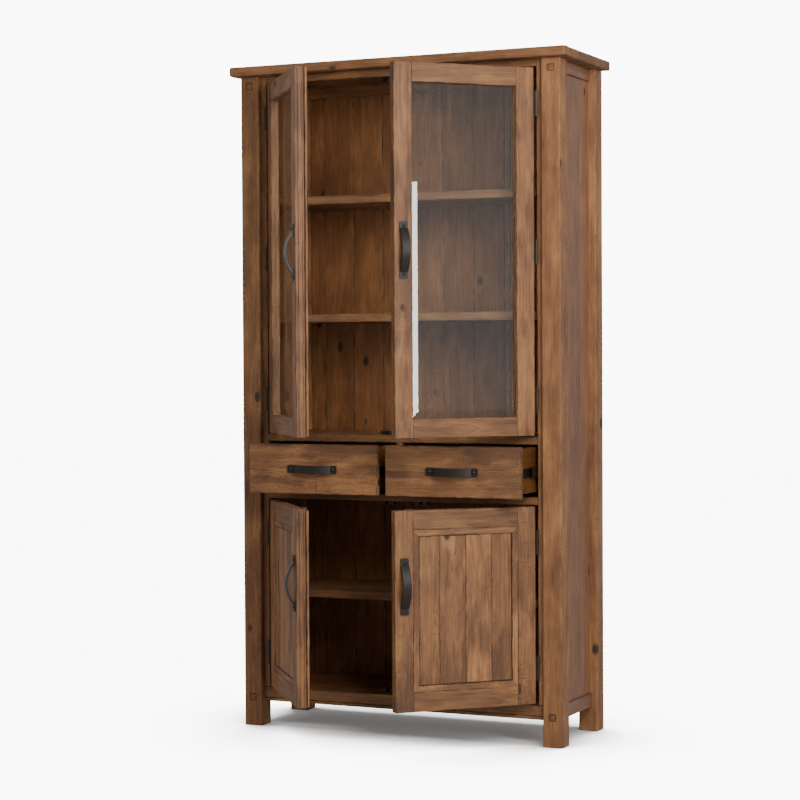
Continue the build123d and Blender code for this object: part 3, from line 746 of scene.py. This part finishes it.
class PANTRY_OT_front_frame(Operator):
    """Frame between the front posts: stiles, rails and the base strip"""

    bl_idname = "pantry.front_frame"
    bl_label = "Front frame"

    def execute(self, context):
        worn = context.scene.pantry_sizes.worn_edge
        wood = sawn_wood()
        low, high = box_of("frame_stiles")
        stiles = []
        for _, side in SIDES:
            corners = sided(side, (STILE_EDGE, POST_INNER), (low.y, high.y), (low.z, high.z))
            # The frame stiles take a low tone: painted shade.
            stiles.append(board(*corners, worn=worn, tone=TONES["frame_stile"]))
        dress("frame_stiles", stiles, wood)
        low, high = box_of("frame_rails")
        # Rails and the base strip take the lowest tone: painted shade.
        tone = TONES["frame_rail"]
        spans = [(low.z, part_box("cabinet_floor")[1][2], high.x)]
        for floor in ("drawer_bay_floor", "upper_floor"):
            spans.append((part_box(floor)[0][2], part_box(floor)[1][2], STILE_EDGE))
        doors_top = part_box("upper_right_door_stiles")[1][2] + context.scene.pantry_sizes.door_gap
        spans.append((doors_top, high.z, STILE_EDGE))
        rails = []
        for start, end, half in spans:
            rails.append(board((-half, low.y, start), (half, high.y, end), worn=worn, tone=tone))
        dress("frame_rails", rails, wood)
        strip = board(*box_of("base_strip"), worn=worn, tone=tone)
        dress("base_strip", [strip], wood)
        return {"FINISHED"}


class PANTRY_OT_sides(Operator):
    """Side panels of three staves between upper and lower side rails"""

    bl_idname = "pantry.sides"
    bl_label = "Sides"

    def execute(self, context):
        wood = side_wood()
        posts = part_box("front_right_post")[1][1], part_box("rear_right_post")[0][1]
        rails_low, rails_high = box_of("side_rails")
        panel_low, panel_high = box_of("side_panels")
        panels, rails = [], []
        for _, side in SIDES:
            across = (panel_high.x - SIDE_PANEL, panel_high.x)
            corners = sided(side, across, (panel_low.y, panel_high.y), (panel_low.z, panel_high.z))
            panels.append(board(*corners, staves=3, worn=0.0008))
            across = (rails_high.x - SIDE_RAIL, rails_high.x)
            for levels in ((rails_low.z, panel_low.z), (panel_high.z, rails_high.z)):
                rails.append(board(*sided(side, across, posts, levels)))
        dress("side_panels", panels, wood)
        dress("side_rails", rails, wood)
        return {"FINISHED"}


class PANTRY_OT_back(Operator):
    """Upright back boards with a vee at each joint, and the rails behind the bays"""

    bl_idname = "pantry.back"
    bl_label = "Back"

    def execute(self, context):
        wood = inside_wood()
        low, high = box_of("back_boards")
        half_gap = BACK_GAP / 2
        joints = [0.0]
        while joints[-1] + BACK_PITCH < high.x - BACK_PITCH / 4:
            joints.append(joints[-1] + BACK_PITCH)
        joints.append(high.x + half_gap)
        face = low.y + 1e-5

        def at_joint(middle, direction):
            """True for the upright edges towards the bays."""
            return upright(middle, direction) and middle.y < face

        vees = ((at_joint, BACK_VEE, 1),)
        boards = []
        for _, side in SIDES:
            for start, end in zip(joints, joints[1:]):
                across = (start + half_gap, end - half_gap)
                corners = sided(side, across, (low.y, high.y), (low.z, high.z))
                boards.append(board(*corners, rounded=vees, worn=WORN_LESS))
        dress("back_boards", boards, wood)
        low, high = box_of("back_rails")
        rails = [
            board((low.x, low.y, high.z - BACK_RAIL), high),
            board(low, (high.x, high.y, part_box("cabinet_floor")[1][2])),
        ]
        dress("back_rails", rails, wood)
        return {"FINISHED"}


class PANTRY_OT_inside(Operator):
    """Bay floors, uprights of the drawer bay, shelves and their cleats"""

    bl_idname = "pantry.inside"
    bl_label = "Inside boards"

    def execute(self, context):
        wood = inside_wood()
        for node in ("cabinet_floor", "drawer_bay_floor", "upper_floor"):
            low, high = box_of(node)
            floor = board(low, high, staves=4, cuts=post_notches(low, high))
            dress(node, [floor], wood)
        low, high = box_of("drawer_bay_uprights")
        divider = (-HALF_DIVIDER, low.y, low.z), (HALF_DIVIDER, high.y, high.z)
        uprights = [board(*divider, staves=3)]
        for _, side in SIDES:
            corners = sided(side, (STILE_EDGE, high.x), (FRAME_BACK, high.y), (low.z, high.z))
            uprights.append(board(*corners, staves=3))
        dress("drawer_bay_uprights", uprights, wood)
        self.shelves(wood)
        return {"FINISHED"}

    def shelves(self, wood):
        """Three shelves notched round the posts, each on two cleats."""
        low, high = box_of("shelves")
        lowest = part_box("shelf_cleats")[0][2] + CLEAT + SHELF
        tops = (lowest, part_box("upper_floor")[1][2] + SHELF_RISE, high.z)
        front, back = clear_of_posts()
        depth = (front - CLEARANCE, back + CLEARANCE)
        wall = high.x + CLEARANCE
        boards, cleats = [], []
        for top in tops:
            corners = Vector((low.x, low.y, top - SHELF)), Vector((high.x, high.y, top))
            under = (top - SHELF - CLEAT, top - SHELF)
            for _, side in SIDES:
                cleats.append(board(*sided(side, (wall - CLEAT, wall), depth, under)))
            notches = post_notches(*corners)
            boards.append(board(*corners, staves=4, cuts=notches, worn=0.0016, tone=TONES["shelf"]))
        edged = make_wood("waxed_shelf_pine", saw=0.1)
        dress("shelves", boards, edged)
        dress("shelf_cleats", cleats, wood)


# ---------------------------------------------------------------- operators: doors
def door_swing(name):
    """The turn from closed to the rest pose, and the side of the door."""
    joint = JOINTS[f"{name}_door"]
    side = 1 if "right" in name else -1
    pin = Vector(joint["pos_m"])
    turn = radians(-joint["range_deg"][0]) * joint["axis"][2]
    return Matrix.Translation(pin) @ Matrix.Rotation(turn, 4, "Z") @ Matrix.Translation(-pin), side


def door_outline(name, sizes):
    """A door when closed, as if on the right: (free x, hinge x), (front y, back y), (low z, high z)."""
    low, high = box_of(f"{name}_door_stiles")
    across = (sizes.meeting_gap / 2, STILE_EDGE - sizes.hinge_gap)
    return across, (FRAME_FRONT, FRAME_FRONT + sizes.door_thickness), (low.z, high.z)


def mitre(strip, spot, lean):
    """Cuts a strip off square to lean at spot."""
    only(strip)
    switch_to("EDIT")
    bpy.ops.mesh.select_all(action="SELECT")
    bpy.ops.mesh.bisect(plane_co=spot, plane_no=lean, use_fill=True, clear_outer=True)
    switch_to("OBJECT")


def mitred_ring(across, depth, levels, width, side, worn=0.001):
    """Four mitred strips inside a rectangle."""
    strips = []
    for top in (False, True):
        z = (levels[1] - width, levels[1]) if top else (levels[0], levels[0] + width)
        low, high = sided(side, across, depth, z)
        strip = board(low, high, worn=worn)
        outer = high.z if top else low.z
        for x, lean in ((low.x, -1), (high.x, 1)):
            mitre(strip, (x, low.y, outer), (lean, 0, -1 if top else 1))
        strips.append(strip)
    for far in (False, True):
        x = (across[1] - width, across[1]) if far else (across[0], across[0] + width)
        low, high = sided(side, x, depth, levels)
        strip = board(low, high, worn=worn)
        outer, toward = (high.x, -1) if far == (side > 0) else (low.x, 1)
        for z, lean in ((levels[0], -1), (levels[1], 1)):
            mitre(strip, (outer, low.y, z), (toward, 0, lean))
        strips.append(strip)
    return strips


class PANTRY_OT_doors(Operator):
    """Four doors: mitred beads behind bevelled glass above, boards in a moulding below"""

    bl_idname = "pantry.doors"
    bl_label = "Doors"

    def execute(self, context):
        sizes = context.scene.pantry_sizes
        for name in DOORS:
            self.door(name, sizes)
        return {"FINISHED"}

    def door(self, name, sizes):
        """One door, built closed and then swung to its rest angle."""
        wood, rough, worn = sawn_wood(), rough_wood(), sizes.worn_edge
        swing, side = door_swing(name)
        across, depth, levels = door_outline(name, sizes)
        body = f"{name}_door"
        member, rebate = sizes.door_member, sizes.rebate
        inside = (across[0] + member, across[1] - member)
        opening = (levels[0] + member, levels[1] - member)
        rebate_x = (inside[0] - rebate, inside[1] + rebate)
        rebate_z = (opening[0] - rebate, opening[1] + rebate)
        rebate_box = sided(side, rebate_x, (depth[0] + sizes.door_lip, depth[1] + PAST), rebate_z)

        def edge_slot(deep, front, back, stop):
            """Cutter for a slot down the free edge."""
            x = (across[0] - PAST, across[0] + deep)
            y = (depth[0] + front, depth[0] + back)
            return sided(side, x, y, (levels[0] + stop, levels[1] - stop))

        cuts = (rebate_box, edge_slot(*EDGE_GROOVE), edge_slot(*EDGE_LINE))
        free_stile = ((across[0], inside[0]), cuts)
        hinge_stile = ((inside[1], across[1]), (rebate_box,))
        stiles = []
        for x, cuts in (free_stile, hinge_stile):
            corners = sided(side, x, depth, levels)
            stiles.append(board(*corners, worn=worn, cuts=cuts, tone=TONES["door_stile"]))
        dress(f"{body}_stiles", stiles, rough, body, swing)
        rails = []
        for z in ((levels[0], opening[0]), (opening[1], levels[1])):
            corners = sided(side, inside, depth, z)
            rails.append(board(*corners, worn=worn, cuts=(rebate_box,), tone=TONES["door_rail"]))
        dress(f"{body}_rails", rails, wood, body, swing)
        if "left" in name:
            strip = self.astragal(across[0], depth[1], levels, side, worn)
            dress(f"{body}_astragal", [strip], wood, body, swing)
        if name.startswith("upper"):
            start = depth[0] + sizes.door_lip + sizes.glass
            ring = mitred_ring(rebate_x, (start, depth[1]), rebate_z, rebate, side)
            dress(f"{body}_beads", ring, wood, body, swing)
            pane = frame["nodes"][f"{body}_glass"]
            pane.data.materials.clear()
            pane.data.materials.append(make_glass())
        else:
            self.panel(body, inside, depth, opening, sizes, side, swing)

    def astragal(self, edge, back, levels, side, worn):
        """A strip behind the meeting stile that laps behind the other door."""
        start = edge - ASTRAGAL_LAP
        across = (start, start + ASTRAGAL_WIDTH)
        ends = (levels[0] + ASTRAGAL_STOP, levels[1] - ASTRAGAL_STOP)
        corners = sided(side, across, (back, back + ASTRAGAL_THICKNESS), ends)
        lap = sided(side, (start - 0.001, edge), (back - 0.001, back + ASTRAGAL_CLEARANCE), levels)
        return board(*corners, worn=worn, cuts=(lap,))

    def panel(self, body, inside, depth, opening, sizes, side, swing):
        """Four upright boards and the flat moulding round them."""
        wood = rough_wood()
        face = depth[0]
        front = face + sizes.door_lip
        back = front + PANEL_BACK
        ring = mitred_ring(inside, (face + MOULDING_SET_BACK, front), opening, sizes.moulding, side)
        dress(f"{body}_moulding", ring, wood, body, swing)
        reach = sizes.rebate - PANEL_SLACK
        rim = sizes.moulding
        middle = sum(inside) / 2
        joints = [middle + k * PANEL_PITCH for k in (-1, 0, 1)]
        field = (inside[0] + rim + PANEL_GAP, *joints, inside[1] - rim - PANEL_GAP)
        base = (inside[0] - reach, *joints, inside[1] + reach)
        levels = (opening[0] + rim + PANEL_GAP, opening[1] - rim - PANEL_GAP)
        ends = (opening[0] - reach, opening[1] + reach)
        raised = face + PANEL_SET_BACK
        boards = []
        for k in range(4):
            corners = sided(side, base[k:k + 2], (front, back), ends)
            boards.append(board(*corners, worn=WORN_LESS))
            corners = sided(side, field[k:k + 2], (raised, front), levels)
            boards.append(board(*corners, worn=0.0016))
        dress(f"{body}_panel", boards, wood, body, swing)


# ---------------------------------------------------------------- operators: drawers and ironwork
class PANTRY_OT_drawers(Operator):
    """Two drawers: fronts of two staves, thin box walls and bottoms"""

    bl_idname = "pantry.drawers"
    bl_label = "Drawers"

    def execute(self, context):
        sizes = context.scene.pantry_sizes
        rough = rough_wood()
        plain = drawer_wood()
        wall = sizes.drawer_wall
        for side_name, _ in SIDES:
            body = f"{side_name}_drawer"
            corners = box_of(f"{body}_front")
            front = board(*corners, worn=0.0026, staves=2, reach=0.006, tone=TONES["drawer_front"])
            dress(f"{body}_front", [front], rough, body)
            low, high = box_of(f"{body}_walls")
            inner = (low.x + wall, high.x - wall)
            walls = [
                board(low, (inner[0], high.y, high.z)),
                board((inner[1], low.y, low.z), high),
                board((inner[0], low.y, low.z), (inner[1], low.y + wall, high.z)),
                board((inner[0], high.y - wall, low.z), (inner[1], high.y, high.z)),
            ]
            dress(f"{body}_walls", walls, plain, body)
            bottom = board(*box_of(f"{body}_bottom"), staves=4, worn=0.0004)
            dress(f"{body}_bottom", [bottom], plain, body)
        return {"FINISHED"}


class PANTRY_OT_ironwork(Operator):
    """Pulls, hinges, catches and drawer slides in their metal finishes"""

    bl_idname = "pantry.ironwork"
    bl_label = "Ironwork"

    def execute(self, context):
        finish = context.scene.pantry_finish
        iron = make_metal("blackened_forged_iron", tuple(finish.iron), 0.6, 0.36, 0.45)
        steel = make_metal("dark_slide_steel", tuple(finish.steel), 0.9, 0.34, 0.1)
        metals = {"handle": iron}
        metals.update({word: steel for word in ("fittings", "hinge_leaves", "catch", "slides")})
        for name, node in frame["nodes"].items():
            metal = next((metals[word] for word in metals if word in name), None)
            if metal is None:
                continue
            node.data.materials.clear()
            node.data.materials.append(metal)
            if metal is iron:
                soft = node.modifiers.new("soft_edges", "BEVEL")
                soft.width, soft.segments = SOFT_EDGE, 2
                soft.limit_method, soft.angle_limit = "ANGLE", radians(48)
        return {"FINISHED"}


# ---------------------------------------------------------------- operators: the stage
class PANTRY_OT_stage(Operator):
    """Pale floor, soft studio lamps and the camera"""

    bl_idname = "pantry.stage"
    bl_label = "Stage"

    def execute(self, context):
        object_mode()
        bpy.ops.mesh.primitive_plane_add(size=60.0, location=(0, 0, 0))
        floor = context.active_object
        floor.name = "studio_floor"
        material, tree, output = new_material("matt_white_studio_paint")
        place = add_node(tree, "ShaderNodeTexCoord").outputs["Object"]
        mottle = add_node(tree, "ShaderNodeTexNoise", {"Vector": place, "Scale": 1.5, "Detail": 3.0})
        tint = ramp(tree, mottle.outputs["Fac"], (0.3, srgb("#E6E4E1")), (0.7, srgb("#E9E7E4")))
        paint = add_node(tree, "ShaderNodeBsdfPrincipled", {"Base Color": tint, "Roughness": 0.8})
        # To the camera the floor glows white; ambient occlusion fades the glow near the cabinet, which
        # paints the grey shadow under it.
        open_floor = add_node(tree, "ShaderNodeAmbientOcclusion", {"Distance": 0.5}, samples=12)
        glare = fade(tree, open_floor.outputs["AO"], 0.42, 0.97, *FLOOR_GLARE)
        glare = number(tree, "MULTIPLY", glare, seen_openly(tree))
        light = add_node(tree, "ShaderNodeEmission", {"Color": (1.0, 1.0, 1.0, 1.0), "Strength": glare})
        both = add_node(tree, "ShaderNodeAddShader", {0: paint.outputs["BSDF"], 1: light.outputs[0]})
        tree.links.new(both.outputs[0], output.inputs["Surface"])
        floor.data.materials.append(material)
        self.world(context)
        for lamp in LAMPS:
            self.lamp(*lamp)
        self.camera(context)
        return {"FINISHED"}

    def world(self, context):
        """A soft surround that the camera sees as pure white."""
        world = bpy.data.worlds.new("white_surround")
        world.use_nodes = True
        context.scene.world = world
        tree = world.node_tree
        mirrored_too = add_node(tree, "ShaderNodeLightPath").outputs["Is Glossy Ray"]
        soft = number(tree, "MULTIPLY_ADD", mirrored_too, SOFT_LIGHT, SOFT_LIGHT)
        strength = number(tree, "MULTIPLY_ADD", seen_openly(tree), WHITE_GLARE, soft)
        background = tree.nodes["Background"]
        background.inputs["Color"].default_value = (1.0, 1.0, 1.0, 1.0)
        tree.links.new(strength, background.inputs["Strength"])

    def lamp(self, name, place, target, size, power, mirrored_too):
        """A rectangular soft box at place that shines at target, and may show in the glass."""
        bpy.ops.object.light_add(type="AREA", location=place)
        lamp = bpy.context.active_object
        lamp.name = name
        lamp.data.shape = "RECTANGLE"
        lamp.data.size, lamp.data.size_y = size
        lamp.data.energy = power
        lamp.visible_glossy = mirrored_too
        lamp.visible_camera = False
        aim = Vector(target) - Vector(place)
        lamp.rotation_euler = aim.to_track_quat("-Z", "Y").to_euler()

    def camera(self, context):
        """The camera stands low, in front and to the right."""
        bpy.ops.object.camera_add(location=CAMERA_PLACE)
        camera = context.active_object
        turn = Matrix.Rotation(radians(CAMERA_TURN), 4, "Z")
        dip = Matrix.Rotation(radians(90 - CAMERA_DIP), 4, "X")
        roll = Matrix.Rotation(radians(CAMERA_ROLL), 4, "Z")
        camera.rotation_euler = (turn @ dip @ roll).to_euler()
        camera.data.sensor_width = CAMERA_SENSOR
        camera.data.lens = CAMERA_LENS
        context.scene.camera = camera


# ---------------------------------------------------------------- sidebar and registration
OPERATORS = (
    PANTRY_OT_slab,
    PANTRY_OT_posts,
    PANTRY_OT_front_frame,
    PANTRY_OT_sides,
    PANTRY_OT_back,
    PANTRY_OT_inside,
    PANTRY_OT_doors,
    PANTRY_OT_drawers,
    PANTRY_OT_ironwork,
    PANTRY_OT_stage,
)


class PANTRY_PT_sidebar(Panel):
    """Lists the steps that dress the cabinet"""

    bl_idname = "PANTRY_PT_sidebar"
    bl_label = "Pantry Cabinet"
    bl_space_type = "VIEW_3D"
    bl_region_type = "UI"
    bl_category = "Pantry"

    def draw(self, context):
        for group in (context.scene.pantry_sizes, context.scene.pantry_finish):
            for name in group.bl_rna.properties.keys():
                if name not in {"rna_type", "name"}:
                    self.layout.prop(group, name)
        for operator in OPERATORS:
            self.layout.operator(operator.bl_idname)


CLASSES = (PantrySizes, PantryFinish, *OPERATORS, PANTRY_PT_sidebar)


def register():
    """Registers the classes and their settings."""
    for item in CLASSES:
        bpy.utils.register_class(item)
    bpy.types.Scene.pantry_sizes = PointerProperty(type=PantrySizes)
    bpy.types.Scene.pantry_finish = PointerProperty(type=PantryFinish)


def unregister():
    """Removes the settings and the classes."""
    del bpy.types.Scene.pantry_sizes
    del bpy.types.Scene.pantry_finish
    for item in reversed(CLASSES):
        bpy.utils.unregister_class(item)


def main():
    """Runs every step."""
    register()
    dice.seed(bpy.context.scene.pantry_finish.seed)
    for operator in OPERATORS:
        group, step = operator.bl_idname.split(".")
        getattr(getattr(bpy.ops, group), step)()
    object_mode()


if __name__ == "__main__":
    main()
